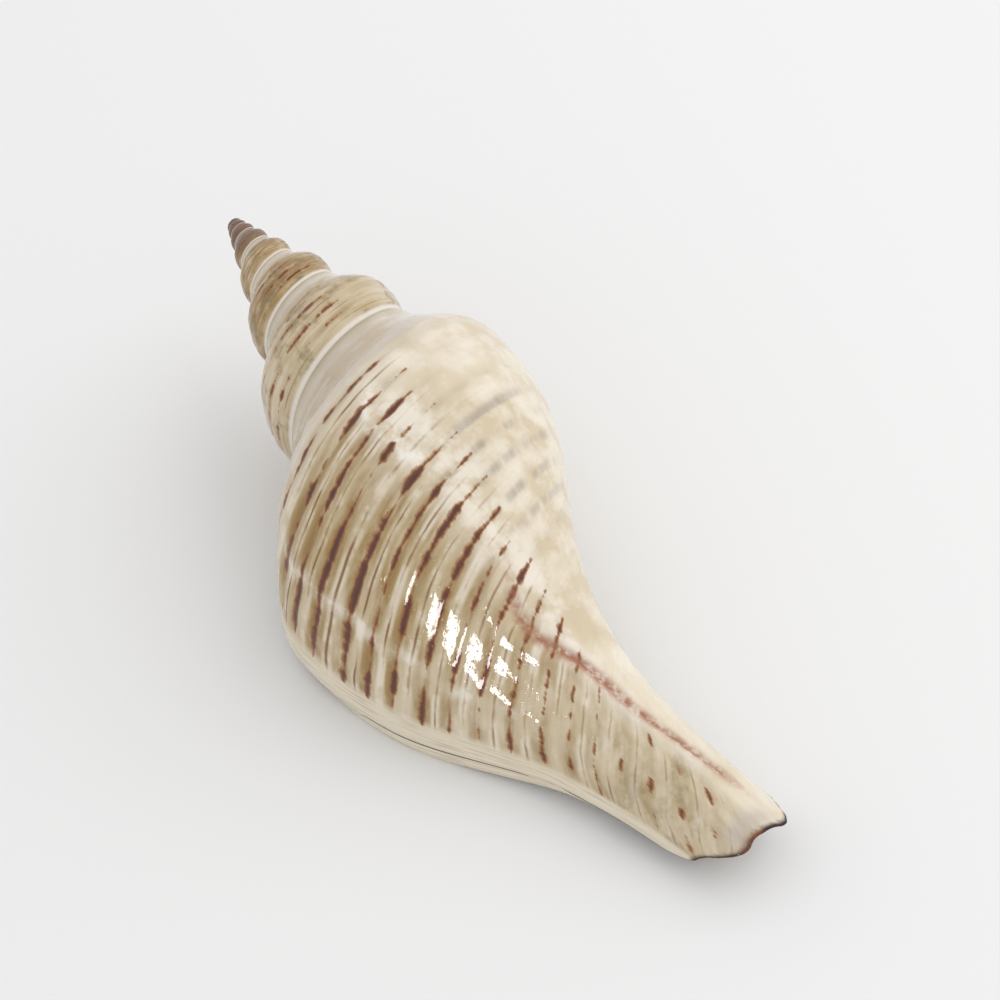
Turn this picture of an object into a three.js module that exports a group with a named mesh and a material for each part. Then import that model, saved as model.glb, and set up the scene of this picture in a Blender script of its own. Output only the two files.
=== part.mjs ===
// A ceramic ornament in the form of a tall spindle shell, cast and glazed in one piece.
// It lies on its lip and its belly. +X runs along the shell from the pointed apex to the
// open siphonal canal, +Z is up and the outer lip is on the -Y side. Sizes are in mm.
// The origin is on the surface it lies on, under the middle of its bounding box.
import * as THREE from 'three';
import { mergeVertices } from 'three/addons/utils/BufferGeometryUtils.js';

const TURN = 2 * Math.PI;
const { smoothstep, clamp, degToRad } = THREE.MathUtils;

// Driving dimensions. "Along" is the distance from the apex along the shell's own axis.
const LENGTH = 241; // from the apex to the end of the canal on its underside
const TONGUE = 9; // the canal's upper side reaches this much further
const GROWTH = 1.665; // each turn makes the shell this many times larger
const LAST_SUTURE = 80; // along, where the last suture meets the lip
const WALL = 3.6; // cast wall with its glaze
const LIP_ANGLE = degToRad(117.2); // of the lip's root round the axis, from the top
const LIP_LEAN = degToRad(-0.0436); // turn of the lip for each mm towards the canal

// The last whorl's outline at the lip: [along, radius]. Earlier turns repeat it smaller.
const OUTLINE = [
  [LAST_SUTURE, 49.4 / GROWTH],
  [87.4, 31.9],
  [106.6, 47.0],
  [LAST_SUTURE * GROWTH, 49.4],
  [162.5, 41.8],
  [206.5, 18.7],
  [259.7, 6.1],
  [319.7, 0],
];

// The canal's own tube, which the outline of the last whorl runs into.
const CANAL_RADIUS = 12.65; // at the lip
const CANAL_GROWTH = 1.445; // for each turn
const CANAL_FROM = 80; // along, where it begins to show
const CANAL_FULL = 161; // along, where it has its full radius

// The first turns are blunter than the rest: a little wider, with the tip rounded off.
const APEX_EXTRA = 1.25; // added radius at the tip
const APEX_FADE = 15; // along, over which it fades
const APEX_TIP = 1; // along, where the tip is

// The lip flares out over the last fifth of a turn, and its corner at the canal is rounded.
const FLARE = 0.214;
const FLARE_ANGLE = -1.2;
const LIP_CORNER = 10;
const CORNER_ANGLE = degToRad(-14);

// Growth angles between which the canal's end rises to the tongue and falls again.
const TONGUE_FULL = degToRad(-60);
const TONGUE_FALLS = degToRad(-140);
const TONGUE_ENDS = degToRad(-190);

// The neck bends a little towards +Y and up.
const NECK_SHIFT = -2.96;
const NECK_BEND_Y = 7.2;
const NECK_BEND_Z = 2.6;

// How the shell lies: apex up, axis this high over the floor at BELLY_ALONG.
const PITCH = degToRad(9.5);
const BELLY_ALONG = 82;
const AXIS_HEIGHT = 32.7;
const SHIFT_X = -44.58;
const SHIFT_Y = 9.87;

// The aperture runs back from the lip between the wall and the turn before.
const CAVITY_FROM = 88; // along, where it starts at the lip
const CAVITY_SWEEP = 4.4; // radians back from the lip in the body
const CANAL_SWEEP = 1.6; // radians back from the lip in the canal
const SWEEP_FROM = 130;
const SWEEP_TO = 205;
const NARROWEST = 0.8; // half gap where wall and columella would meet

// Facets.
const TURNS = 6;
const ROWS = 40; // round each turn
const SPIRE_COLUMNS = 7; // from one suture to the next
const CAVITY_ROWS = ROWS / 2;
const CAVITY_COLUMNS = 20; // from the aperture's root to the canal's end
const EDGE_ROWS = 3; // across the thickness of the lip
const FACET_ALLOWANCE = 0.3; // the corners stand proud so that the flats keep to the surface

/** Radius of the outline at the lip: a cubic through OUTLINE's points. */
function outline(along) {
  const last = OUTLINE.length - 1;
  const at = clamp(along, OUTLINE[0][0], OUTLINE[last][0]);
  let i = 0;
  while (i < last - 1 && at > OUTLINE[i + 1][0]) i += 1;
  const slope = (k) => {
    if (k === last) return 0;
    const [x0, y0] = OUTLINE[Math.max(k - 1, 0)];
    const [x1, y1] = OUTLINE[k + 1];
    return (y1 - y0) / (x1 - x0);
  };
  const [x0, y0] = OUTLINE[i];
  const [x1, y1] = OUTLINE[i + 1];
  const h = x1 - x0;
  const u = (at - x0) / h;
  const back = (1 - u) * (1 - u);
  return (1 + 2 * u) * back * y0 + u * back * h * slope(i)
    + u * u * (3 - 2 * u) * y1 + u * u * (u - 1) * h * slope(i + 1);
}

/** Size of the shell at a growth angle: 1 at the lip, 1 / GROWTH a turn before it. */
const scaleAt = (growth) => GROWTH ** (growth / TURN);

/** Outer radius at a growth angle (0 at the lip) and a distance along the axis. */
function radius(growth, along) {
  const scale = scaleAt(growth);
  const whorl = scale * outline(along / scale);
  const canal = CANAL_RADIUS * CANAL_GROWTH ** (growth / TURN)
    * smoothstep(along, CANAL_FROM, CANAL_FULL);
  const shape = Math.cbrt(whorl ** 3 + canal ** 3);
  const flare = FLARE * smoothstep(growth, FLARE_ANGLE, 0)
    * smoothstep(along / scale / LAST_SUTURE, 1.1, 1.6);
  return shape * (1 + flare) + APEX_EXTRA * Math.exp(-((along / APEX_FADE) ** 2));
}

/** Where the canal ends at a growth angle: a tongue on the upper side, a rounded lip corner. */
function endAt(growth) {
  const rise = 1 - smoothstep(growth, TONGUE_FULL, 0);
  const fall = smoothstep(growth, TONGUE_ENDS, TONGUE_FALLS);
  return LENGTH + TONGUE * rise * fall - LIP_CORNER * smoothstep(growth, CORNER_ANGLE, 0) ** 1.5;
}

/** The point at a growth angle, a distance along and a radius, placed on the floor. */
function place(growth, along, r) {
  const suture = LAST_SUTURE * scaleAt(growth);
  const lean = LIP_LEAN * (along - suture) * smoothstep(growth, -TURN / 2, 0);
  const angle = LIP_ANGLE + growth + lean;
  const bend = Math.max((along - CANAL_FULL) / LAST_SUTURE, 0) ** 2;
  const y = -Math.sin(angle) * r + NECK_SHIFT * smoothstep(along, 128, 204) + NECK_BEND_Y * bend;
  const z = Math.cos(angle) * r + NECK_BEND_Z * bend;
  const x = along - BELLY_ALONG;
  return new THREE.Vector3(
    x * Math.cos(PITCH) + z * Math.sin(PITCH) + SHIFT_X,
    y + SHIFT_Y,
    z * Math.cos(PITCH) - x * Math.sin(PITCH) + AXIS_HEIGHT,
  );
}

const outside = (growth, along) => place(growth, along, radius(growth, along) + FACET_ALLOWANCE);

/** Even steps from a to b. */
const steps = (a, b, count) => Array.from({ length: count + 1 }, (_, i) => a + (b - a) * i / count);

/** The spire: rows round the axis, columns from each suture to the next. */
function spire() {
  return steps(-TURNS * TURN, -TURN, ROWS * (TURNS - 1)).map((growth) => {
    const suture = LAST_SUTURE * scaleAt(growth);
    return steps(suture, suture * GROWTH, SPIRE_COLUMNS).map((along) => outside(growth, along));
  });
}

/** The last turn: from the suture to the canal's end. */
function lastTurn() {
  return steps(-TURN, 0, ROWS).map((growth) => {
    const suture = LAST_SUTURE * scaleAt(growth);
    const share = smoothstep(growth, -TURN, 0);
    const next = LAST_SUTURE + share * (CAVITY_FROM - LAST_SUTURE) * 0.9;
    const upper = steps(suture, next, SPIRE_COLUMNS);
    const lower = steps(CAVITY_FROM, endAt(growth), CAVITY_COLUMNS);
    return [...upper, ...lower].map((along) => outside(growth, along));
  });
}

/** One face of the aperture: side 1 is the wall's inner face, side -1 the columella. */
function cavityFace(side) {
  return steps(0, 1, CAVITY_ROWS).map((share) => steps(0, 1, CAVITY_COLUMNS).map((part) => {
    const level = CAVITY_FROM + (LENGTH - CAVITY_FROM) * part;
    const back = share * (CAVITY_SWEEP
      + (CANAL_SWEEP - CAVITY_SWEEP) * smoothstep(level, SWEEP_FROM, SWEEP_TO));
    const start = CAVITY_FROM * scaleAt(-back);
    const end = side > 0 ? endAt(-back) : LENGTH + (endAt(-back) - LENGTH) * share;
    const along = start + (end - start) * part;
    const outer = radius(-back, along) - WALL;
    const inner = radius(-TURN - back, along) + (share === 0 ? FACET_ALLOWANCE : 0);
    const rounded = Math.sqrt(1 - share ** 4);
    const opened = Math.min(part * CAVITY_COLUMNS, 1);
    const half = Math.max((outer - inner) / 2, NARROWEST) * rounded * opened;
    if (share === 0 && side < 0) return outside(-TURN, along);
    if (share === 0 && part === 0) return outside(-TURN, along);
    if (share === 0) return place(0, along, Math.max(outer, inner + NARROWEST));
    return place(-back, along, (outer + inner) / 2 + side * half);
  }));
}

/** Rows that round off an edge between two lines of points, bulging along push. */
function roundedEdge(from, to, push) {
  return steps(0, 1, EDGE_ROWS).map((share) => from.map((p, i) => {
    const q = p.clone().lerp(to[i], share);
    return q.addScaledVector(push[i], Math.sin(share * Math.PI));
  }));
}

/** Adds a grid's quads to the list of triangles. */
function addGrid(triangles, rows, flip = false) {
  for (let i = 0; i + 1 < rows.length; i += 1) {
    for (let j = 0; j + 1 < rows[i].length; j += 1) {
      const a = rows[i][j];
      const b = rows[i + 1][j];
      const c = rows[i + 1][j + 1];
      const d = rows[i][j + 1];
      triangles.push(...(flip ? [[a, d, b], [b, d, c]] : [[a, b, d], [b, c, d]]));
    }
  }
}

/** Closes the tip of the spire: a fan from the apex to the first turn's edge. */
function addApex(triangles, rows) {
  const apex = place(0, APEX_TIP, 0);
  const edge = [...rows[0], ...rows.slice(0, ROWS).reverse().map((row) => row[0])];
  for (let i = 0; i + 1 < edge.length; i += 1) {
    triangles.push([apex, edge[i], edge[i + 1]]);
  }
}

/** A closed geometry from triangles of points, without the ones that have no area. */
function solid(triangles) {
  const loose = new THREE.BufferGeometry().setFromPoints(triangles.flat());
  const merged = mergeVertices(loose, 1e-3);
  const index = [];
  for (let i = 0; i < merged.index.count; i += 3) {
    const [a, b, c] = [0, 1, 2].map((k) => merged.index.getX(i + k));
    if (a !== b && b !== c && c !== a) index.push(a, b, c);
  }
  merged.setIndex(index);
  // The belly and the lip are ground flat where they rest.
  const { position } = merged.attributes;
  for (let i = 0; i < position.count; i += 1) position.setZ(i, Math.max(position.getZ(i), 0));
  merged.computeVertexNormals();
  return merged;
}

function shellGeometry() {
  const triangles = [];
  const early = spire();
  const last = lastTurn();
  addApex(triangles, early);
  addGrid(triangles, early);
  addGrid(triangles, last);

  const wall = cavityFace(1);
  const columella = cavityFace(-1);
  addGrid(triangles, wall);
  addGrid(triangles, columella, true);

  // The lip's edge, from the outside to the aperture; its root is a fan at the suture.
  const lip = last[ROWS];
  const root = Array(SPIRE_COLUMNS + 1).fill(lip[0]);
  const growthward = lip.map((p, i) => p.clone().sub(last[ROWS - 1][i]).setLength(WALL * 0.45));
  growthward.fill(new THREE.Vector3(), 0, SPIRE_COLUMNS + 1);
  const lipEdge = roundedEdge(lip, [...root, ...wall[0]], growthward);
  addGrid(triangles, lipEdge);

  // The canal's end, from the outside to the aperture.
  const ring = last.map((row) => row[row.length - 1]).reverse();
  const mouth = [...wall, ...columella.slice(0, -1).reverse()].map((row) => row[row.length - 1]);
  const outward = ring.map(() => new THREE.Vector3(WALL * 0.4, 0, 0));
  outward[ROWS] = new THREE.Vector3();
  const endEdge = roundedEdge(ring, mouth, outward);
  endEdge.forEach((row, i) => { row[0] = lipEdge[i][lip.length - 1]; });
  addGrid(triangles, endEdge);
  return solid(triangles);
}

const glaze = new THREE.MeshStandardMaterial({ color: 0xe9dcc8, roughness: 0.25, metalness: 0 });
const shell = new THREE.Mesh(shellGeometry(), glaze);
shell.name = 'shell';

const ornament = new THREE.Group();
ornament.add(shell);

export default ornament;
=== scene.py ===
from math import cos, pi, radians, sin
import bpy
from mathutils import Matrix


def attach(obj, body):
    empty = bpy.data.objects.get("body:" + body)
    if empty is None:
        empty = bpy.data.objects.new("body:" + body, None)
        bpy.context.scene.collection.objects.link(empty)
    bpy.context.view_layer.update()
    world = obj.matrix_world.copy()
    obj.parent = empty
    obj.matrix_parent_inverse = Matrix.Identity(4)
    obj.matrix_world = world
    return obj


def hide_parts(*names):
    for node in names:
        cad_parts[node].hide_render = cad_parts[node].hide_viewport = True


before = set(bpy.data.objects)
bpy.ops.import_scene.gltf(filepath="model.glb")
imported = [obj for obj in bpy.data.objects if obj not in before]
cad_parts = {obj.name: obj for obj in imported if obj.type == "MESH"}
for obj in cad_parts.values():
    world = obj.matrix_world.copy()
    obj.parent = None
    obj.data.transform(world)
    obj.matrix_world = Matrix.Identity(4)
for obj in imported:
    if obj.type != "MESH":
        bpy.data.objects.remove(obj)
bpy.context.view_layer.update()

from types import SimpleNamespace
import bpy
import numpy as np
from mathutils import Matrix

# A ceramic ornament in the form of a tall spindle shell, glazed all over, lying on its lip and
# belly. "Along" is the distance from the apex on the shell's own axis, in mm. "Growth" is the
# angle round it, in radians: 0 at the lip, negative towards the apex. place() sets such a point
# on the floor and mesh_piece() turns millimetres to metres.

MM = 0.001
TURN = 2 * pi

# Driving dimensions, as the frame has them.
LENGTH, TONGUE = 241.0, 9.0
GROWTH = 1.665
LAST_SUTURE = 80.0
WALL = 3.4
LIP_ANGLE = radians(117.2)
LIP_LEAN = radians(-0.0436)
OUTLINE_ALONG = np.array([LAST_SUTURE, 87.4, 106.6, LAST_SUTURE * GROWTH, 162.5, 206.5, 259.7, 319.7])
OUTLINE_RADIUS = np.array([49.4 / GROWTH, 31.9, 47.0, 49.4, 41.8, 18.7, 6.1, 0.0])
CANAL_RADIUS, CANAL_GROWTH = 12.65, 1.445
CANAL_FROM, CANAL_FULL = 80.0, 161.0
APEX_EXTRA, APEX_FADE, APEX_TIP = 1.25, 15.0, 1.0
FLARE, FLARE_ANGLE = 0.214, -1.2
NECK_SHIFT, NECK_BEND_Y, NECK_BEND_Z = -2.96, 7.2, 2.6
PITCH = radians(9.5)
BELLY_ALONG, AXIS_HEIGHT = 82.0, 32.7
SHIFT_X, SHIFT_Y = -44.58, 9.87
CAVITY_FROM = 88.0
CAVITY_SWEEP, CANAL_SWEEP = 4.4, 1.6
SWEEP_FROM, SWEEP_TO = 130.0, 205.0

# The spiral grooves, counted from the shoulder: where each lies between one suture (0) and
# the next (1), and past that down the canal. Below the last one they are evenly spaced.
GROOVES = np.array([0.20, 0.33, 0.45, 0.57, 0.744, 0.866, 0.99, 1.156, 1.26, 1.36, 1.47])
GROOVE_STEP = 0.0885

# Marks at the lip and round the last turn, in degrees of growth.
CREASE, FORMER_LIP, GROWTH_BREAK, RIDGE = -5.4, -37.5, -94.0, -101.0

# Widths, in turns, of the gutter, the waist and the stretch held plain, after a suture and before one.
SUTURE_BELLS = ((0.05, 0.025), (0.14, 0.12), (0.09, 0.09))
LATE_SPIRE = (38, 60)    # where the early whorls' ochre fades out, in mm along
PROUD = 0.15             # how far the glaze may stand over the plain radius, in mm
RIM_THICK, RIM_BACK, RECESS, LEAST_HALF_GAP = 2.6, 0.6, 2.2, 0.8
LIP_CORNER, CORNER_ANGLE = 10.0, -14

OUTSIDE, INSIDE, RIM = 0, 1, 2    # the zones of the surface

ROWS = 160           # round each turn
WHORLS = 7           # turns before the last one
SPIRE_COLUMNS = 24   # from one suture to the next
ROUND_ROWS = 8       # across a rounded edge
CAVITY_ROWS, CAVITY_COLUMNS = 36, 70


def smooth(x, a, b):
    """A step from 0 at a to 1 at b: 3u^2 - 2u^3."""
    u = np.clip((x - a) / (b - a), 0.0, 1.0)
    return u * u * (3 - 2 * u)


def hump(x, middle, width):
    """A bell of height 1 at middle: exp(-((x - middle) / width)^2)."""
    return np.exp(-((x - middle) / width) ** 2)


def window(x, rise, full, fall, gone):
    """0 up to rise, 1 from full to fall, and 0 again from gone on: two steps' product."""
    return smooth(x, rise, full) * (1 - smooth(x, fall, gone))


def outline(along):
    """The last whorl's radius at the lip: cubic pieces with the slope of the neighbours' chord."""
    x, y = OUTLINE_ALONG, OUTLINE_RADIUS
    slope = np.zeros(len(x))
    slope[0] = (y[1] - y[0]) / (x[1] - x[0])
    slope[1:-1] = (y[2:] - y[:-2]) / (x[2:] - x[:-2])
    at = np.clip(along, x[0], x[-1])
    i = np.clip(np.searchsorted(x, at) - 1, 0, len(x) - 2)
    h = x[i + 1] - x[i]
    u = (at - x[i]) / h
    return ((1 + 2 * u) * (1 - u) ** 2 * y[i] + u * (1 - u) ** 2 * h * slope[i]
            + u * u * (3 - 2 * u) * y[i + 1] + u * u * (u - 1) * h * slope[i + 1])


def scale_at(growth):
    """The shell's size: 1 at the lip, 1 / GROWTH a turn before."""
    return GROWTH ** (growth / TURN)


def radius(growth, along):
    """Plain outer radius: whorl and canal joined by the cube root of their cubes' sum.

    The lip flares, and the first turns are a little wider.
    """
    scale = scale_at(growth)
    whorl = scale * outline(along / scale)
    canal = (CANAL_RADIUS * CANAL_GROWTH ** (growth / TURN)
             * smooth(along, CANAL_FROM, CANAL_FULL))
    flare = (FLARE * smooth(growth, FLARE_ANGLE, 0)
             * smooth(along / scale / LAST_SUTURE, 1.1, 1.6))
    blunt = APEX_EXTRA * np.exp(-(along / APEX_FADE) ** 2)
    return np.cbrt(whorl ** 3 + canal ** 3) * (1 + flare) + blunt


def place(growth, along, r):
    """A point at an angle, a distance along and a radius, leant, bent and set on the floor."""
    suture = LAST_SUTURE * scale_at(growth)
    angle = (LIP_ANGLE + growth
             + LIP_LEAN * (along - suture) * smooth(growth, -TURN / 2, 0))
    bend = np.maximum((along - CANAL_FULL) / LAST_SUTURE, 0) ** 2
    y = -np.sin(angle) * r + NECK_SHIFT * smooth(along, 128, 204) + NECK_BEND_Y * bend
    z = np.cos(angle) * r + NECK_BEND_Z * bend
    x = along - BELLY_ALONG
    return np.stack(np.broadcast_arrays(
        x * cos(PITCH) + z * sin(PITCH) + SHIFT_X,
        y + SHIFT_Y,
        z * cos(PITCH) - x * sin(PITCH) + AXIS_HEIGHT), -1)


def coil_of(growth, along):
    """Place between sutures: log of along over the suture's own along, 1 for each turn."""
    return np.log(along / (LAST_SUTURE * scale_at(growth))) / np.log(GROWTH)


def groove_count(coil, growth):
    """Grooves passed from the shoulder: whole in each groove, half on each rib."""
    drift = (-0.055 * smooth(growth, -1.25, -0.4) * (1 - smooth(coil, 1.3, 1.8))
             + 0.05 * smooth(growth, -1.6, -0.5) * smooth(coil, 1.8, 2.1))
    at = coil + drift * smooth(coil, 0.5, 0.9)
    first, last = GROOVES[0], GROOVES[-1]
    listed = np.interp(at, GROOVES, np.arange(len(GROOVES)))
    early = (at - first) / (GROOVES[1] - first)
    late = len(GROOVES) - 1 + (at - last) / GROOVE_STEP
    return np.where(at > last, late, np.where(at < first, early, listed))


def end_at(growth):
    """Where the canal ends: a tongue above, a rounded lip corner, and a rim of two sines."""
    deg = np.degrees(growth)
    tongue = TONGUE * (1 - smooth(deg, -60, 0)) * smooth(deg, -190, -140)
    corner = LIP_CORNER * smooth(deg, CORNER_ANGLE, 0) ** 1.5
    ripple = 0.5 * np.sin(5 * growth + 0.6) + 0.15 * np.sin(11 * growth + 2.0)
    return LENGTH - RIM_BACK + tongue - corner + ripple * smooth(-growth, 0.1, 0.5)


def lip_edge(along):
    """Growth angle where the lip's rounded edge ends: at the root 0, a tongue by the canal."""
    tongue = window(along, 146, 153, 192, 208)
    return (radians(-3.0) + radians(2.5) * tongue) * smooth(along, 80, 92)


def body_share(deg):
    """0 on the spire and 1 on the body, with a slow change below the suture."""
    return smooth(deg, -345, -250)


def ridge_line(along):
    """The ridge's angle in degrees: level, bowed where the body narrows, falling to the end."""
    return RIDGE - 28 * smooth(along, 192, 237) + 22 * hump(along, 172, 14)


def groove_cut(growth, along, coil, at_break):
    """Depth of the grooves: a bell in each, and from rib to rib a parabola, 4 off (1 - off).

    It fades in below the shoulder and out at the lip, at the breaks and on the far side, and is
    shallower down the body, the neck and on the spire.
    """
    count = groove_count(coil, growth)
    off = np.abs(count - np.round(count))
    deg = np.degrees(growth)
    body = body_share(deg)
    shoulder = smooth(coil, 0.48, 0.56) * body + (1 - body) * smooth(coil, 0.12, 0.2)
    far_side = (0.6 + 0.4 * smooth(deg, -125, -98)) * body + (1 - body)
    neck = 1 - 0.5 * smooth(along, 185, 225)
    by_lip = (1 - smooth(deg, -21, -14)) * (1 + 0.4 * window(deg, -36, -31, -20, -14))
    depth = shoulder * far_side * neck * by_lip
    depth = depth * (1 - 0.6 * hump(deg, FORMER_LIP - 0.5, 4)) * (1 - 0.7 * at_break)
    depth = depth * (0.75 - 0.50 * smooth(coil, 1.0, 1.4) * body) * (0.4 + 0.6 * body)
    return depth * (0.55 * hump(off, 0, 0.15) + 0.45 * (1 - 4 * off * (1 - off)))


def ribs(growth, along):
    """How far the glaze lies over the plain radius, in mm.

    Former lips, the lip's bead, the ridge and three slow waves stand up. The grooves, the crease
    and the valley by the ridge are cut in. Both fade to nothing at the suture, where a narrow
    gutter and a broad waist are bells round it, so that each turn meets the next exactly.
    """
    coil = coil_of(growth, along)
    deg = np.degrees(growth)
    wrapped = 1 - smooth(growth, -TURN, -TURN + 0.25)
    at_lip = window(deg, -52, -40, -39, -33) * window(coil, 0.6, 0.9, 1.7, 2.0)
    at_break = hump(deg, GROWTH_BREAK + 1 + 3 * np.sin(coil * 9), 2.5) * window(coil, 0.6, 0.75, 1.2, 1.5)
    edge = np.degrees(lip_edge(along))
    bead = hump(deg, edge - 5.5, 4.0) * smooth(coil, 0.25, 0.8)
    crease = hump(deg, CREASE, 1.0) * window(along, 140, 150, 200, 212)
    ridge = hump(deg, ridge_line(along) + 7, 6) * window(along, 130, 165, 220, 238)
    valley = hump(deg, ridge_line(along) - 5, 5) * window(along, 145, 170, 220, 238)
    waves = (0.16 * np.sin(3 * growth + 9 * coil) + 0.10 * np.sin(11 * growth + 4 * coil + 1)
             + 0.08 * np.sin(23 * growth - 7 * coil))
    up = 0.35 * at_lip + 0.35 * at_break + 0.5 * bead + 0.7 * ridge + waves
    down = groove_cut(growth, along, coil, at_break) + 0.8 * crease + 0.5 * valley
    gutter, waist, held = (np.maximum(hump(coil, 0, above), hump(coil, 1, below) * wrapped)
                           for above, below in SUTURE_BELLS)
    by_suture = 1 - 0.5 * body_share(deg) * smooth(coil, 0, 0.1)
    sunk = 0.55 + 0.7 * gutter + 0.9 * waist * by_suture
    size = np.minimum(along / LAST_SUTURE, 1)
    return np.minimum(size * ((1 - held) * (up - down) - sunk), PROUD)


def turn_angles():
    """Rows of one turn, closest at the lip: u - a sin(TURN u) / TURN, as an angle."""
    u = np.linspace(0, 1, ROWS + 1)
    return TURN * (u - 0.4 * np.sin(TURN * u) / TURN)


class Quilt:
    """Gathers patches of points and their marks, then sews them into one closed mesh."""

    def __init__(self):
        self.points, self.marks, self.faces, self.count = [], [], [], 0

    def add(self, points, growth, along, zone):
        """Stores points with their growth, along and zone, and gives back their numbers."""
        shape = points.shape[:-1]
        marks = np.stack([np.broadcast_to(m, shape) for m in (growth, along, zone)], -1)
        self.points.append(points.reshape(-1, 3))
        self.marks.append(marks.reshape(-1, 3))
        number = self.count + np.arange(marks.size // 3).reshape(shape)
        self.count += number.size
        return number

    def grid(self, number, flip=False):
        """Triangles between neighbouring rows and columns."""
        a, b = number[:-1, :-1], number[1:, :-1]
        c, d = number[1:, 1:], number[:-1, 1:]
        for pair in ((a, d, b), (b, d, c)) if flip else ((a, b, d), (b, c, d)):
            self.faces.append(np.stack(pair, -1).reshape(-1, 3))

    def stitch(self, row_a, at_a, row_b, at_b, flip=False):
        """Triangles between two rows of different counts, taken in the order of their places."""
        at = np.concatenate([at_a[1:], at_b[1:]])
        on_b = np.repeat([False, True], [len(at_a) - 1, len(at_b) - 1])
        on_b = on_b[np.lexsort((on_b, at))]
        i, j = np.cumsum(~on_b), np.cumsum(on_b)
        before = np.where(on_b, row_b[np.maximum(j - 1, 0)], row_a[np.maximum(i - 1, 0)])
        ahead = np.where(on_b, row_b[j], row_a[i])
        across = np.where(on_b, row_a[i], row_b[j])
        tri = np.where(on_b[:, None], np.stack([across, before, ahead], -1),
                       np.stack([before, across, ahead], -1))
        self.faces.append(tri[:, ::-1] if flip else tri)

    def sewn(self):
        """One mesh: points that coincide are joined and faces with no area are dropped."""
        points = np.concatenate(self.points)
        points[:, 2] = np.maximum(points[:, 2], 0)
        marks, faces = np.concatenate(self.marks), np.concatenate(self.faces)
        _, first, back = np.unique(np.round(points, 4), axis=0, return_index=True,
                                   return_inverse=True)
        joined = back.reshape(-1)[faces]
        keep = ((joined[:, 0] != joined[:, 1]) & (joined[:, 1] != joined[:, 2])
                & (joined[:, 2] != joined[:, 0]))
        return points[first], joined[keep], marks[faces[keep]]


def outside(quilt, growth, along):
    """Adds points of the finished outside."""
    return quilt.add(place(growth, along, radius(growth, along) + ribs(growth, along)),
                     growth, along, OUTSIDE)


def spire(quilt):
    """The whorls before the last: rows round them, columns from each suture to the next."""
    turns = [turn_angles()[:-1] - (k + 1) * TURN for k in range(WHORLS, 0, -1)]
    growth = np.concatenate(turns)[:, None]
    coil = np.linspace(0, 1, SPIRE_COLUMNS + 1)[None, :]
    number = outside(quilt, growth, LAST_SUTURE * scale_at(growth) * GROWTH ** coil)
    quilt.grid(number)
    return number, coil[0]


def close_apex(quilt, number):
    """A fan from the tip to the first row and the first turn's upper edge."""
    tip = quilt.add(place(0.0, APEX_TIP, 0.0)[None, :], -WHORLS * TURN, APEX_TIP, OUTSIDE)
    edge = np.concatenate([number[0], number[ROWS::-1, 0]])
    quilt.stitch(edge, np.arange(len(edge)), np.repeat(tip, 2), np.array([0, 0.5]), flip=True)


def last_coils():
    """Columns of the last turn: close in each groove, further apart on the ribs."""
    inside = np.array([0, 0.055, 0.11, 0.19, 0.31, 0.44, 0.56, 0.69, 0.81, 0.89, 0.945])
    shoulder = np.linspace(0, GROOVES[0], 9)[:-1]
    ends = np.concatenate([GROOVES, np.arange(GROOVES[-1] + GROOVE_STEP, 3.4, GROOVE_STEP)])
    between = ends[:-1, None] + inside[None, :] * np.diff(ends)[:, None]
    coils = np.concatenate([shoulder, between.ravel()])
    coils[np.argmin(np.abs(coils - 1))] = 1.0
    return coils


def last_turn(quilt):
    """The body whorl and canal, with columns along the grooves, cut off where the canal ends."""
    growth = (turn_angles() - TURN)[:, None]
    coil = last_coils()[None, :]
    end_coil = coil_of(growth, end_at(growth))
    half_step = 0.45 * np.diff(coil, append=coil[:, -1:] + GROOVE_STEP)
    coil = np.where(coil > end_coil - half_step, end_coil, coil)
    along = LAST_SUTURE * scale_at(growth) * GROWTH ** coil
    growth = growth + lip_edge(along) * smooth(growth, -0.7, 0)
    number = outside(quilt, growth, along)
    quilt.grid(number)
    return number, coil, growth, along


def rounded(quilt, start, finish, push, growth, along, zone):
    """Rows of a half ellipse from start to finish, bulging by push."""
    turn = np.linspace(0, pi, ROUND_ROWS + 1)[1:-1, None, None]
    points = (start + finish) / 2 + (start - finish) / 2 * np.cos(turn) + push * np.sin(turn)
    return quilt.add(points, growth, along, zone)


def unit(v):
    """Vectors of length one."""
    return v / np.maximum(np.linalg.norm(v, axis=-1, keepdims=True), 1e-9)


def cavity(quilt, side, root):
    """One face of the aperture: side 1 is the wall's inner face, side -1 the columella.

    Rows run back from the lip by share, columns from the root to the canal's end by part. The
    half gap is sqrt(1 - share^4) of the room between the wall and the turn before.
    """
    share = np.linspace(0, 1, CAVITY_ROWS + 1)[:, None]
    part = np.linspace(0, 1, CAVITY_COLUMNS + 1)[None, :]
    level = root + (LENGTH - root) * part
    sweep = CAVITY_SWEEP + (CANAL_SWEEP - CAVITY_SWEEP) * smooth(level, SWEEP_FROM, SWEEP_TO)
    back = share * sweep - (1 - share) * lip_edge(level)
    start = root * scale_at(-share * sweep)
    recess = RECESS * smooth(share, 0, 0.12)
    near = 1.0 if side > 0 else share
    end = end_at(-TURN) + (end_at(-back) - end_at(-TURN)) * near - recess
    along = start + (end - start) * part
    outer = radius(-back, along) - WALL
    inner = radius(-TURN - back, along)
    half = (np.maximum((outer - inner) / 2, LEAST_HALF_GAP) * np.sqrt(1 - share ** 4)
            * np.minimum(part * CAVITY_COLUMNS / 4, 1) ** 0.5)
    points = place(-back, along, (outer + inner) / 2 + side * half)
    return points, -back, along


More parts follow.
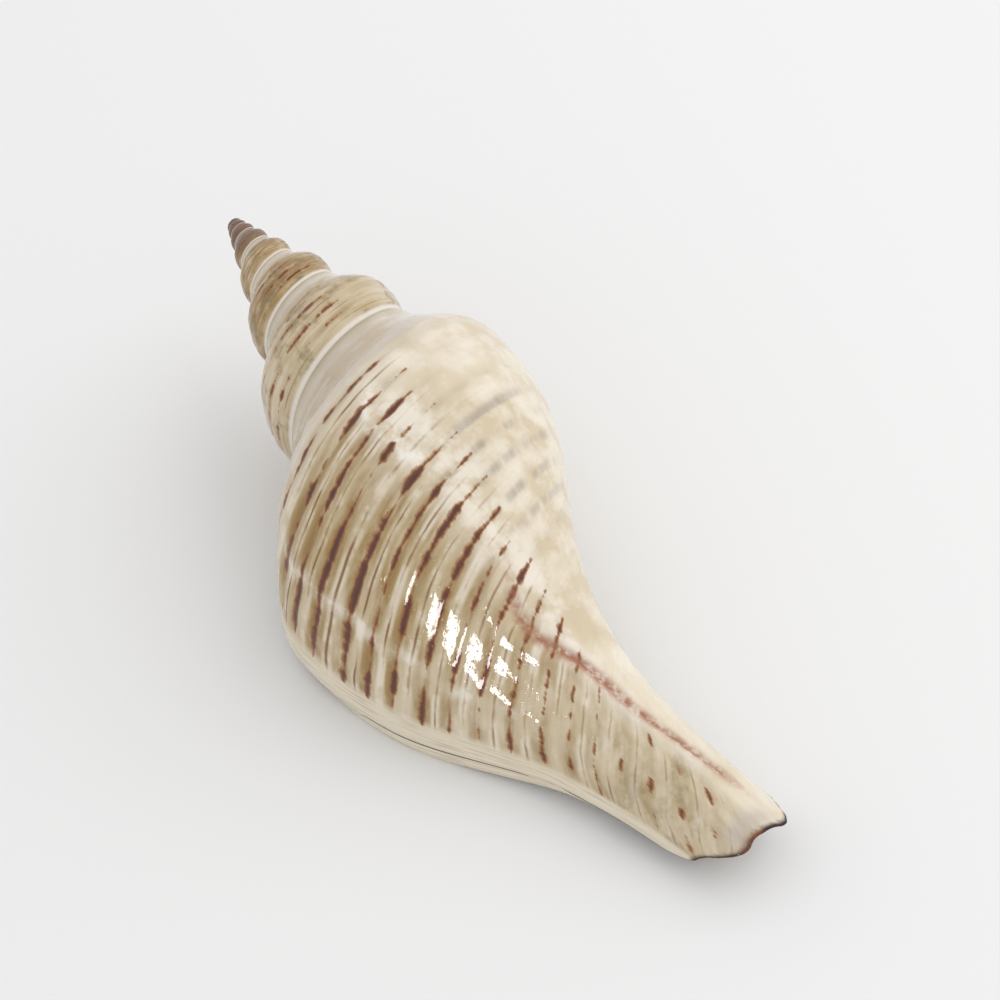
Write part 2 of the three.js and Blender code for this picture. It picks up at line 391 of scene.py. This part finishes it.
def shell_quilt():
    """The whole closed surface."""
    quilt = Quilt()
    early, early_coil = spire(quilt)
    close_apex(quilt, early)
    number, coil, growth, along = last_turn(quilt)

    # The spire's last row meets the part of the last turn's first row above the suture.
    above = coil[0] <= 1.0
    quilt.stitch(early[-1], early_coil, number[0][above], coil[0][above])

    # The parietal line: the last turn's first row below the suture.
    below = number[0][coil[0] >= 1.0]
    below_along = along[0][coil[0] >= 1.0]
    root = int(np.argmin(np.abs(below_along - CAVITY_FROM)))
    wall_points, wall_growth, wall_along = cavity(quilt, 1, below_along[root])
    wall = quilt.add(wall_points, wall_growth, wall_along, INSIDE)
    wall[0, 0] = below[root]
    quilt.grid(wall)
    columella_points, col_growth, col_along = cavity(quilt, -1, below_along[root])
    columella = quilt.add(columella_points, col_growth, col_along, INSIDE)
    columella[-1] = wall[-1]
    columella[:, 0] = wall[:, 0]
    quilt.grid(columella[1:], flip=True)
    quilt.stitch(below[root:], below_along[root:], columella[1], col_along[1], flip=True)

    # The lip's rounded edge. Above the aperture it is fused to the turn before.
    lip, lip_growth, lip_along = number[-1], growth[-1], along[-1]
    surface = np.concatenate(quilt.points)
    outer = surface[lip]
    thick = WALL * smooth(lip_along, LAST_SUTURE, CAVITY_FROM + 4)[:, None]
    inner = place(lip_growth, lip_along, radius(lip_growth, lip_along) - thick[:, 0])
    fused = place(-TURN + 0 * lip_along, lip_along,
                  radius(-TURN, lip_along) + ribs(-TURN + 0 * lip_along, lip_along))
    blend = smooth(lip_along, CAVITY_FROM - 1, CAVITY_FROM + 5)[:, None]
    inner = fused * (1 - blend) + inner * blend
    growthward = unit(outer - surface[number[-2]])
    canalward = unit(np.gradient(outer, axis=0))
    corner = smooth(lip_along, lip_along[-1] - 5, lip_along[-1])[:, None] * pi / 4
    push = (growthward * np.cos(corner) + canalward * np.sin(corner)) * thick / 2
    edge = rounded(quilt, outer, inner, push, lip_growth, lip_along, OUTSIDE)
    rows = np.concatenate([lip[None, :], edge])
    quilt.grid(rows)
    inside_row = np.concatenate([below[:root], wall[0]])
    inside_at = np.concatenate([below_along[:root], wall_along[0]])
    inside_at[-1] = lip_along[-1]
    quilt.stitch(rows[-1], lip_along, inside_row, inside_at)

    # The canal's rim, wrapped over into a shallow recess, and the face inside it.
    ring, ring_growth = number[::-1, -1], growth[::-1, -1]
    ring_along = along[::-1, -1]
    outer = surface[ring]
    taper = smooth(ring_growth, -TURN, -TURN + 0.6)
    rim = RIM_THICK * taper
    lowered = ring_along - RECESS * taper * smooth(-ring_growth, 0, 0.3)
    inner = place(ring_growth, lowered, radius(ring_growth, ring_along) - rim)
    onward = unit(place(ring_growth, ring_along + 1, 0 * ring_growth)
                  - place(ring_growth, ring_along, 0 * ring_growth))
    push = onward * (rim / 2)[:, None]
    rim_rows = rounded(quilt, outer, inner, push, ring_growth, ring_along, RIM)
    rim_rows[:, 0] = edge[:, -1]
    rim_rows[:, -1] = ring[-1]
    rows = np.concatenate([ring[None, :], rim_rows])
    quilt.grid(rows)
    mouth = np.concatenate([wall[:, -1], columella[:-1][::-1, -1]])
    mouth[-1] = ring[-1]
    reach = CANAL_SWEEP / TURN
    share = np.linspace(0, 1, CAVITY_ROWS + 1)
    mouth_at = np.concatenate([share * reach, 1 - share[:-1][::-1] * (1 - reach)])
    quilt.stitch(rows[-1], -ring_growth / TURN, mouth, mouth_at)
    return quilt


# What the surface's corner attributes hold: three marks to a vector.
MARKS = {
    "lanes": ("turns", "count", "coil"),
    "colours": ("brown", "tan", "rust"),
    "places": ("apex", "rim", "inner"),
    "washes": ("gutter", "lip_band", "lilac"),
    "lights": ("breaks", "soft", "smudge"),
    "edges": ("sutured", "pale", "aged"),
}


def spot_of(growth, along):
    """What the marks are worked out from at each place. A break is a wavering bell across."""
    coil, deg = coil_of(growth, along), np.degrees(growth)
    waver = 2 * np.sin(coil * 9) + 1.3 * np.sin(coil * 25) + 0.8 * np.sin(coil * 61)
    at_lip = hump(deg, FORMER_LIP + 0.6 * waver, 2.4) * window(coil, 0.6, 0.8, 1.7, 1.9)
    at_break = hump(deg, GROWTH_BREAK + waver, 2.2) * window(coil, 0.62, 0.72, 1.1, 1.3)
    return SimpleNamespace(
        growth=growth, along=along, coil=coil, deg=deg, body=body_share(deg),
        neck=smooth(along, 196, 222), breaks=np.maximum(0.45 * at_lip, at_break),
        to_end=end_at(np.clip(growth, -TURN, 0)) - along)


def brown_mark(spot):
    """How much brown the grooves hold: the most of the front, dots, slots and tips, or patches.

    The front is even from the far side to the lip, stronger on the upper body. Dots stand in
    three rows across the grooves, slots behind the lip, tips near the canal's end. On the spire
    two sines of the growth make patches in the middle of each whorl.
    """
    deg, coil = spot.deg, spot.coil
    upper = window(coil, 0.50, 0.60, 1.25, 1.9)
    front = window(deg, -118, -97, -19, -15) * (0.40 + 0.60 * upper) * smooth(coil, 0.48, 0.6)
    front = front * (1 - 0.8 * smooth(coil, 1.7, 2.1))
    front = front * (1 - 0.45 * hump(deg, -74, 4) * (1 - smooth(coil, 1.0, 1.15)))
    first_dots = hump(deg, -100, 3.5) * window(coil, 1.2, 1.3, 1.85, 2.0)
    more_dots = 0.7 * hump(deg, -87, 2.5) + 0.6 * hump(deg, -79, 2)
    more_dots = more_dots * window(coil, 1.3, 1.36, 1.64, 1.8)
    slots = 0.8 * hump(deg, -25.5, 6.5) * window(coil, 0.7, 0.85, 2.0, 2.3)
    brown = np.maximum.reduce([front, first_dots, more_dots, slots]) * (1 - spot.breaks)
    tips = (hump(deg, -92, 8) + hump(deg, -52, 7) + 0.8 * hump(deg, -27, 6)) * spot.neck
    tips = 0.40 * tips * (1 - smooth(spot.along, 240, 246))
    brown = np.maximum(brown * (1 - 0.2 * spot.neck), tips)
    patch = np.sin(1.7 * spot.growth + 1.3) + np.sin(4.1 * spot.growth + 5 * coil)
    first_whorls = 1 - smooth(spot.along, 16, 32)
    patches = 0.05 + (0.62 + 0.3 * first_whorls) * smooth(patch, -0.3, 1.2)
    patches = patches * window(coil, 0.30, 0.40, 0.90, 0.95)
    return brown * spot.body + patches * (1 - spot.body)


def tan_mark(spot):
    """How thin the glaze is: the most of the front, shoulder and neck, and ochre on the spire."""
    deg, coil = spot.deg, spot.coil
    front = window(deg, -112, -75, -19, -12) * smooth(coil, 0.5, 0.75)
    front = front * (1 - 0.3 * smooth(coil, 1.3, 1.7)) * (1 - 0.6 * spot.breaks)
    shoulder = 0.5 * (1 - smooth(coil, 0.4, 0.7))
    neck = 0.6 * spot.neck * window(deg, -115, -95, -19, -12)
    ochre = (1 - 0.4 * smooth(spot.along, *LATE_SPIRE)) * smooth(coil, 0.20, 0.40)
    most = np.maximum.reduce([front, shoulder, neck])
    return np.maximum(most * spot.body, 0.10) + ochre * (1 - spot.body)


def lilac_mark(spot):
    """Where a lilac bloom lies: the shoulder, the top of each whorl, and behind the rim."""
    deg, coil = spot.deg, spot.coil
    shoulder = smooth(deg, -200, -120) * (1 - smooth(coil, 0.42, 0.64)) * spot.body
    whorl_tops = (1 - smooth(coil, 0.26, 0.36)) * (1 - spot.body)
    by_rim = 1.3 * hump(spot.to_end, 4, 3) * window(deg, -150, -110, -70, -40)
    return np.maximum.reduce([shoulder, whorl_tops, by_rim])


def marks_of(growth, along, zone):
    """Where each colour of the glaze gathers, from 0 to about 1, by the names in MARKS.

    Each mark is a product of steps and bells of the growth angle, the distance along and the
    coil. The first three are the place itself, which the glaze's patterns follow.
    """
    spot = spot_of(growth, along)
    deg, coil, body = spot.deg, spot.coil, spot.body
    ridge_width = 3.5 + 4.5 * smooth(along, 165, 195)
    pale_band = hump(deg, -103, 12) * smooth(coil, 0.6, 0.75) * (1 - smooth(along, 190, 220))
    pale_side = 0.3 * (1 - smooth(deg, -150, -115)) * (1 - spot.neck)
    whorl_middle = window(coil, 0.28, 0.42, 0.88, 0.95)
    return {
        "turns": growth / TURN,
        "count": groove_count(coil, growth),
        "coil": coil,
        "brown": brown_mark(spot),
        "tan": tan_mark(spot),
        "rust": hump(deg, ridge_line(along) - 4, ridge_width) * window(along, 150, 172, 228, 242),
        "apex": 1 - smooth(along, 12, 17),
        "rim": np.maximum(1 - smooth(spot.to_end, 0.1, 1.2), zone == RIM) * (zone != INSIDE),
        "inner": zone == INSIDE,
        "gutter": hump(coil, 0.03, 0.055),
        "lip_band": smooth(deg, -19, -14) * smooth(coil, 0.1, 0.4),
        "lilac": lilac_mark(spot),
        "breaks": spot.breaks,
        "soft": np.minimum(0.6 * spot.neck + 1 - body, 1),
        "smudge": 0.96 * window(deg, -175, -150, -112, -104) * window(coil, 0.95, 1.1, 1.5, 1.75),
        "sutured": np.maximum(1 - smooth(deg, -364, -358), 1 - smooth(coil, 0.3, 0.5)),
        "pale": np.maximum(pale_band, pale_side) * body,
        "aged": 0.55 * whorl_middle * (1 - body) * (1 - smooth(along, *LATE_SPIRE)),
    }


def mesh_piece(name, quilt):
    """The sewn mesh as a Blender object in metres, with its marks on the face corners."""
    points, faces, marks = quilt.sewn()
    mesh = bpy.data.meshes.new(name)
    mesh.from_pydata((points * MM).tolist(), [], faces.tolist())
    growth, along, zone = (marks[..., k].ravel() for k in range(3))
    marks = marks_of(growth, np.maximum(along, APEX_TIP / 2), zone)
    for vector, names in MARKS.items():
        values = np.stack([marks[name] for name in names], -1)
        attribute = mesh.attributes.new(vector, "FLOAT_VECTOR", "CORNER")
        attribute.data.foreach_set("vector", values.astype(np.float32).ravel())
    mesh.polygons.foreach_set("use_smooth", np.ones(len(faces), bool))
    mesh.update()
    piece = bpy.data.objects.new(name, mesh)
    bpy.context.scene.collection.objects.link(piece)
    return piece


def linear(text):
    """An sRGB hex colour as linear RGBA."""
    part = [int(text[k:k + 2], 16) / 255 for k in (0, 2, 4)]
    return (*(c / 12.92 if c <= 0.04045 else ((c + 0.055) / 1.055) ** 2.4 for c in part), 1.0)


def add(tree, kind, *values, named=(), **settings):
    """Adds a node with its settings. Its inputs, in order or named, take values or outputs."""
    node = tree.nodes.new("ShaderNode" + kind)
    for key, value in settings.items():
        setattr(node, key, value)
    pairs = list(zip([s for s in node.inputs if s.enabled], values))
    pairs += [(node.inputs[name], value) for name, value in dict(named).items()]
    for socket, value in pairs:
        if isinstance(value, bpy.types.NodeSocket):
            tree.links.new(value, socket)
        else:
            socket.default_value = value
    return next((s for s in node.outputs if s.enabled), None)


# The glaze's colours, from the clay up, with the crease's painted shade among them.
GLAZE = {name: linear(text) for name, text in {
    "shade cream": "D3C3A6", "cream": "E6DAC4", "white cream": "F2EADC", "tan": "A68B57",
    "amber tan": "8A6A3C", "hair brown": "7F5638", "olive": "86774C", "smudge grey": "988A80",
    "ochre": "8A6644", "lilac": "C3B8AF", "gutter olive": "A79E7E", "lip cream": "E2D7C1",
    "lip thread": "B9A98E", "crease": "4A4038", "pale cream": "EEE5D6", "break white": "F4EFE6",
    "amber": "9A662E", "red brown": "6F3B26", "dark brown": "472A25", "rust": "A0684B",
    "apex brown": "68473F", "suture white": "EDE4DC", "rim black": "2E1914",
    "rim amber": "7A3E1C", "inner cream": "E9E0D0"}.items()}

# Where each brown of a dash starts and is full, in the dash's strength, and how much it covers.
BROWN_STEPS = ((-0.34, 0.08, 0.9, "amber"), (0.0, 0.34, 1.0, "red brown"),
               (0.25, 0.80, 0.85, "dark brown"))

# Noises that run along the growth, as glaze does: the spots in a turn, which is about 300 mm at
# the belly, the spots across a groove's 7 mm, the detail and the roughness.
RUNS = {"fine": (150.0, 8.0, 4.0, 0.6), "dash": (26.0, 7.31, 3.0, 0.6),
        "streak": (11.0, 2.1, 4.0, 0.6), "ripple": (40.0, 2.0, 3.0, 0.5),
        "thread": (520.0, 0.6, 2.0, 0.5)}

# Noises the same every way: the spots in a metre, the detail and the roughness.
CLOUDS = {"cloud": (28.0, 3.0, 0.55), "blotch": (110.0, 4.0, 0.62),
          "mottle": (420.0, 3.0, 0.6), "speck": (900.0, 1.0, 0.5)}
EASED = {"interpolation_type": "SMOOTHSTEP"}
# The crease's dark line is painted shade, the shadow under the lip's edge.
CREASE_SHADE_LINE, CREASE_SHADE_HALF = -0.0152, 0.0007    # its place and half its width, in turns


def pattern_nodes(tree):
    """The surface's marks, and the glaze's own patterns, as outputs by name."""
    pattern = SimpleNamespace()
    for vector, names in MARKS.items():
        source = add(tree, "Attribute", attribute_name=vector).node.outputs["Vector"]
        for name, output in zip(names, add(tree, "SeparateXYZ", source).node.outputs):
            setattr(pattern, name, output)

    # off is 0 in a groove and 0.5 on a rib, lane is the groove's own number, and edge is 0 at a
    # suture.
    pattern.off = add(tree, "Math", pattern.count, 0.5, operation="PINGPONG")
    pattern.edge = add(tree, "Math", pattern.coil, 0.5, operation="PINGPONG")
    lane = add(tree, "Math", pattern.count, operation="ROUND")
    across = add(tree, "CombineXYZ", pattern.turns, pattern.count, 0.0)
    in_lane = add(tree, "CombineXYZ", pattern.turns, lane, 0.0)
    for name, (in_turn, in_groove, detail, roughness) in RUNS.items():
        lines = in_lane if name == "dash" else across
        at = add(tree, "VectorMath", lines, (in_turn, in_groove, 0.0), operation="MULTIPLY")
        setattr(pattern, name, add(tree, "TexNoise", at, 1.0, detail, roughness))
    where = add(tree, "TexCoord").node.outputs["Object"]
    for name, (in_metre, detail, roughness) in CLOUDS.items():
        setattr(pattern, name, add(tree, "TexNoise", where, in_metre, detail, roughness))
    return pattern


def tan_layers(tree, pattern):
    """Tan on the flanks of each rib, under a crest of white with a thin tan thread on some."""
    off, streak, blotch = pattern.off, pattern.streak, pattern.blotch
    whiter = add(tree, "MapRange", blotch, 0.44, 0.64, 0.0, 0.55)
    crest = add(tree, "MapRange", off, 0.26, 0.42, 0.0, 1.0, **EASED)
    uneven = add(tree, "MapRange", blotch, 0.40, 0.56, 0.15, 1.0)
    crest = add(tree, "Math", crest, uneven, operation="MULTIPLY")
    hard = add(tree, "Math", pattern.soft, -0.8, 1.0, operation="MULTIPLY_ADD")
    crest = add(tree, "Math", crest, hard, operation="MULTIPLY")
    thread = add(tree, "MapRange", off, 0.44, 0.49, 0.0, 0.5, **EASED)
    on_some = add(tree, "MapRange", streak, 0.42, 0.56)
    thread = add(tree, "Math", thread, on_some, operation="MULTIPLY")
    flank = add(tree, "Math", crest, -0.75, 1.0, operation="MULTIPLY_ADD")
    streaked = add(tree, "MapRange", streak, 0.34, 0.60, 0.55, 1.1)
    flank = add(tree, "Math", flank, streaked, operation="MULTIPLY")
    clouded = add(tree, "MapRange", blotch, 0.38, 0.60, 0.65, 1.1)
    flank = add(tree, "Math", flank, clouded, thread, operation="MULTIPLY_ADD")

    # By the brown: a halo round each groove and a hair-thin line on the crest.
    halo = add(tree, "MapRange", off, 0.04, 0.34, 0.75, 0.0, **EASED)
    in_streaks = add(tree, "MapRange", streak, 0.40, 0.60)
    halo = add(tree, "Math", halo, in_streaks, operation="MULTIPLY")
    hair = add(tree, "MapRange", off, 0.43, 0.49, 0.0, 0.85, **EASED)
    in_some = add(tree, "MapRange", streak, 0.46, 0.56)
    hair = add(tree, "Math", hair, in_some, operation="MULTIPLY")

    # On the spire and the neck the tan pools in darker patches.
    pools = add(tree, "MapRange", blotch, 0.50, 0.62, 0.0, 0.8, **EASED)
    pools = add(tree, "Math", pools, pattern.soft, operation="MULTIPLY")
    return [(1.0, whiter, GLAZE["white cream"]), (pattern.tan, flank, GLAZE["tan"]),
            (pattern.brown, halo, GLAZE["amber tan"]), (pattern.brown, hair, GLAZE["hair brown"]),
            (pattern.tan, pools, GLAZE["olive"])]


def wash_layers(tree, pattern):
    """Washes over the tan: grey smudges, ochre, lilac, the gutter, the lip with painted shade in its
    crease, and pale breaks.
    """
    smudge = add(tree, "MapRange", pattern.off, 0.04, 0.26, 0.65, 0.0, **EASED)
    dashed = add(tree, "MapRange", pattern.dash, 0.40, 0.56)
    smudge = add(tree, "Math", smudge, dashed, operation="MULTIPLY")
    ochre = add(tree, "MapRange", pattern.streak, 0.36, 0.60, 0.15, 1.0)
    gutter = add(tree, "Math", pattern.fine, 0.8, 0.3, operation="MULTIPLY_ADD")
    thread = add(tree, "MapRange", pattern.thread, 0.50, 0.64, 0.0, 0.6)

    # The crease's dark line is painted shade, the shadow under the lip's edge, at one part of a turn,
    # nearer the lip and wider down the neck.
    crease_shade_at = add(tree, "Math", pattern.soft, 0.006, CREASE_SHADE_LINE, operation="MULTIPLY_ADD")
    crease_shade_width = add(tree, "Math", pattern.soft, 0.006, CREASE_SHADE_HALF, operation="MULTIPLY_ADD")
    crease = add(tree, "Math", pattern.turns, crease_shade_at, crease_shade_width, operation="COMPARE")
    pale = add(tree, "MapRange", pattern.blotch, 0.38, 0.58, 0.15, 0.9, **EASED)
    broken = add(tree, "MapRange", pattern.blotch, 0.44, 0.56, 0.0, 0.95, **EASED)
    return [(pattern.smudge, smudge, GLAZE["smudge grey"]), (pattern.aged, ochre, GLAZE["ochre"]),
            (pattern.lilac, 0.55, GLAZE["lilac"]), (pattern.gutter, gutter, GLAZE["gutter olive"]),
            (pattern.lip_band, 0.85, GLAZE["lip cream"]), (pattern.lip_band, thread, GLAZE["lip thread"]),
            (pattern.lip_band, crease, GLAZE["crease"]), (pattern.pale, pale, GLAZE["pale cream"]),
            (pattern.breaks, broken, GLAZE["break white"])]


def brown_layers(tree, pattern):
    """Brown in broken dashes along the grooves, from an amber fringe to a dark middle.

    Its strength is the mark plus a noise for each groove, less the distance from the groove. The
    noise is held down so that no dash swells, and a finer one wears the edge. It is broader and
    softer on the spire and down the neck.
    """
    broken = add(tree, "Math", pattern.dash, 4.6, -2.46, operation="MULTIPLY_ADD")
    broken = add(tree, "Math", broken, 0.12, operation="MINIMUM")
    pull = add(tree, "Math", pattern.brown, 0.68, broken, operation="MULTIPLY_ADD")
    worn = add(tree, "Math", pattern.fine, 0.9, -0.45, operation="MULTIPLY_ADD")
    steep = add(tree, "Math", pattern.soft, 2.0, -5.6, operation="MULTIPLY_ADD")
    bare = add(tree, "MapRange", pattern.brown, 0.02, 0.15, -2.0, 0.0, **EASED)
    brown = add(tree, "Math", pattern.off, steep, pull, operation="MULTIPLY_ADD")
    brown = add(tree, "Math", brown, worn, operation="ADD")
    brown = add(tree, "Math", brown, bare, operation="ADD")
    return [(1.0, add(tree, "MapRange", brown, start, full, 0.0, most, **EASED), GLAZE[name])
            for start, full, most, name in BROWN_STEPS]


def edge_layers(tree, pattern):
    """Over everything: the rusty ridge, the apex, the white sutures, the rim and the inside."""
    rusty = add(tree, "MapRange", pattern.mottle, 0.34, 0.56, 0.35, 1.0, **EASED)
    apex = add(tree, "MapRange", pattern.blotch, 0.4, 0.6, 0.95, 0.6)
    suture = add(tree, "MapRange", pattern.edge, 0.008, 0.036, 0.85, 0.0, **EASED)
    amber = add(tree, "MapRange", pattern.blotch, 0.46, 0.62)
    rim = add(tree, "Mix", amber, GLAZE["rim black"], GLAZE["rim amber"], data_type="RGBA")
    return [(pattern.rust, rusty, GLAZE["rust"]), (pattern.apex, apex, GLAZE["apex brown"]),
            (pattern.sutured, suture, GLAZE["suture white"]), (pattern.rim, 1.0, rim),
            (pattern.inner, 1.0, GLAZE["inner cream"])]


def glaze_material():
    """Glazed stoneware: cream where the glaze is thick, tan where thin, brown in the grooves.

    The gloss is that of fired glass over clay: an even, sharp shine on every colour, with its
    edge broken by slow ripples and pinholes in the glaze.
    """
    material = bpy.data.materials.new("glazed stoneware")
    material.use_nodes = True
    tree = material.node_tree
    tree.nodes.clear()
    pattern = pattern_nodes(tree)
    clouds = add(tree, "MapRange", pattern.cloud, 0.40, 0.60)
    colour = add(tree, "Mix", clouds, GLAZE["shade cream"], GLAZE["cream"], data_type="RGBA")
    layers = (tan_layers(tree, pattern) + wash_layers(tree, pattern)
              + brown_layers(tree, pattern) + edge_layers(tree, pattern))
    for mark, share, over in layers:
        share = add(tree, "Math", mark, share, operation="MULTIPLY")
        colour = add(tree, "Mix", share, colour, over, data_type="RGBA")
    pinhole = add(tree, "MapRange", pattern.speck, 0.66, 0.74, 0.0, -0.12)
    height = add(tree, "Math", pattern.ripple, 0.5, pinhole, operation="MULTIPLY_ADD")
    bump = add(tree, "Bump", named={"Height": height, "Strength": 0.5, "Distance": 0.6 * MM})
    shader = add(tree, "BsdfPrincipled", named={
        "Base Color": colour, "Roughness": 0.06, "IOR": 1.52, "Normal": bump})
    add(tree, "OutputMaterial", shader)
    return material


def card_material():
    """Matt card for the floor: pale, and rough enough to show no reflection."""
    material = bpy.data.materials.new("matt card")
    material.use_nodes = True
    shader = material.node_tree.nodes["Principled BSDF"]
    shader.inputs["Base Color"].default_value = linear("EDEDED")
    shader.inputs["Roughness"].default_value = 0.9
    shader.inputs["Specular IOR Level"].default_value = 0.2
    return material


# Camera, in millimetres: where it stands, what it looks at and how far it is rolled.
EYE = np.array([447.77, -217.63, 596.59])
AIM = np.array([-8.45, 22.96, 17.95])
ROLL = radians(-8.0)
LENS = 101.76

# The softbox: how far it stands from the spot on the belly that mirrors it, that spot and the
# two that its long side runs between, as growth in degrees and mm along.
SOFTBOX_AWAY = 900.0
SOFTBOX_SPOT, SOFTBOX_ENDS = (-54, 166), ((-68, 168), (-32, 168))
SOFTBOX_SIZE, SOFTBOX_WATTS = (0.15, 0.17), 1.5
BROAD_EYE = (300, 1100, 1000)
FLOOR_REACH = 6.0    # in metres


def facing(eye, back, right):
    """A matrix in metres at eye, in mm, that looks against back, with right set square to it."""
    right = unit(right - np.dot(right, back) * back)
    up = np.cross(back, right)
    columns = [[*right, 0], [*up, 0], [*back, 0], [*(np.asarray(eye) * MM), 1]]
    return Matrix(np.array(columns).T.tolist())


def look(eye, aim, roll=0.0):
    """A matrix that looks from eye to aim, its upright turned by roll."""
    back = unit(np.asarray(eye, float) - np.asarray(aim, float))
    side = unit(np.cross((0, 0, 1), back))
    return facing(eye, back, cos(roll) * side + sin(roll) * np.cross(back, side))


def add_camera():
    """The camera of the main view."""
    data = bpy.data.cameras.new("camera")
    data.lens, data.sensor_width = LENS, 36.0
    data.clip_end = 10.0
    camera = bpy.data.objects.new("camera", data)
    bpy.context.scene.collection.objects.link(camera)
    camera.matrix_world = look(EYE, AIM, ROLL)
    bpy.context.scene.camera = camera


def mirrored(degrees, along):
    """A spot on the body, and the direction that it mirrors to the camera: v - 2 (v n) n."""
    step = 0.01
    growth, along = np.array([radians(degrees)]), np.array([along])
    spot = place(growth, along, radius(growth, along))[0]
    round_it = place(growth + step, along, radius(growth + step, along))[0] - spot
    down_it = place(growth, along + 1, radius(growth, along + 1))[0] - spot
    normal = unit(np.cross(round_it, down_it))
    view = unit(spot - EYE)
    return spot, unit(view - 2 * np.dot(view, normal) * normal)


def add_light(name, matrix, size, watts):
    """A soft rectangular lamp: its size in metres, and how it stands."""
    data = bpy.data.lights.new(name, "AREA")
    data.shape = "RECTANGLE"
    data.size, data.size_y = size
    data.energy = watts
    lamp = bpy.data.objects.new(name, data)
    bpy.context.scene.collection.objects.link(lamp)
    lamp.matrix_world = matrix
    return lamp


def add_lights():
    """One softbox whose reflection lies on the belly by the lip, one broad lamp, and a pale sky."""
    spot, direction = mirrored(*SOFTBOX_SPOT)
    one_way, other_way = (mirrored(*end)[1] for end in SOFTBOX_ENDS)
    stand = facing(spot + direction * SOFTBOX_AWAY, direction, other_way - one_way)
    softbox = add_light("softbox", stand, SOFTBOX_SIZE, SOFTBOX_WATTS)
    softbox.visible_diffuse = False
    broad = add_light("broad_lamp", look(BROAD_EYE, (0, 0, 0)), (1.6, 1.6), 8.0)
    broad.visible_glossy = False
    world = bpy.data.worlds.new("pale room")
    world.use_nodes = True
    background = world.node_tree.nodes["Background"]
    background.inputs["Color"].default_value = (1.0, 1.0, 1.0, 1.0)
    background.inputs["Strength"].default_value = 0.86
    bpy.context.scene.world = world
    bpy.context.scene.view_settings.view_transform = "Standard"


def add_floor():
    """A plain pale floor."""
    mesh = bpy.data.meshes.new("floor")
    far = FLOOR_REACH
    corners = [(-far, -far, 0), (far, -far, 0), (far, far, 0), (-far, far, 0)]
    mesh.from_pydata(corners, [], [(0, 1, 2, 3)])
    floor = bpy.data.objects.new("floor", mesh)
    bpy.context.scene.collection.objects.link(floor)
    mesh.materials.append(card_material())


shell = mesh_piece("glazed_shell", shell_quilt())
shell.data.materials.append(glaze_material())
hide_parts("shell")
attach(shell, "root")
add_floor()
add_lights()
add_camera()
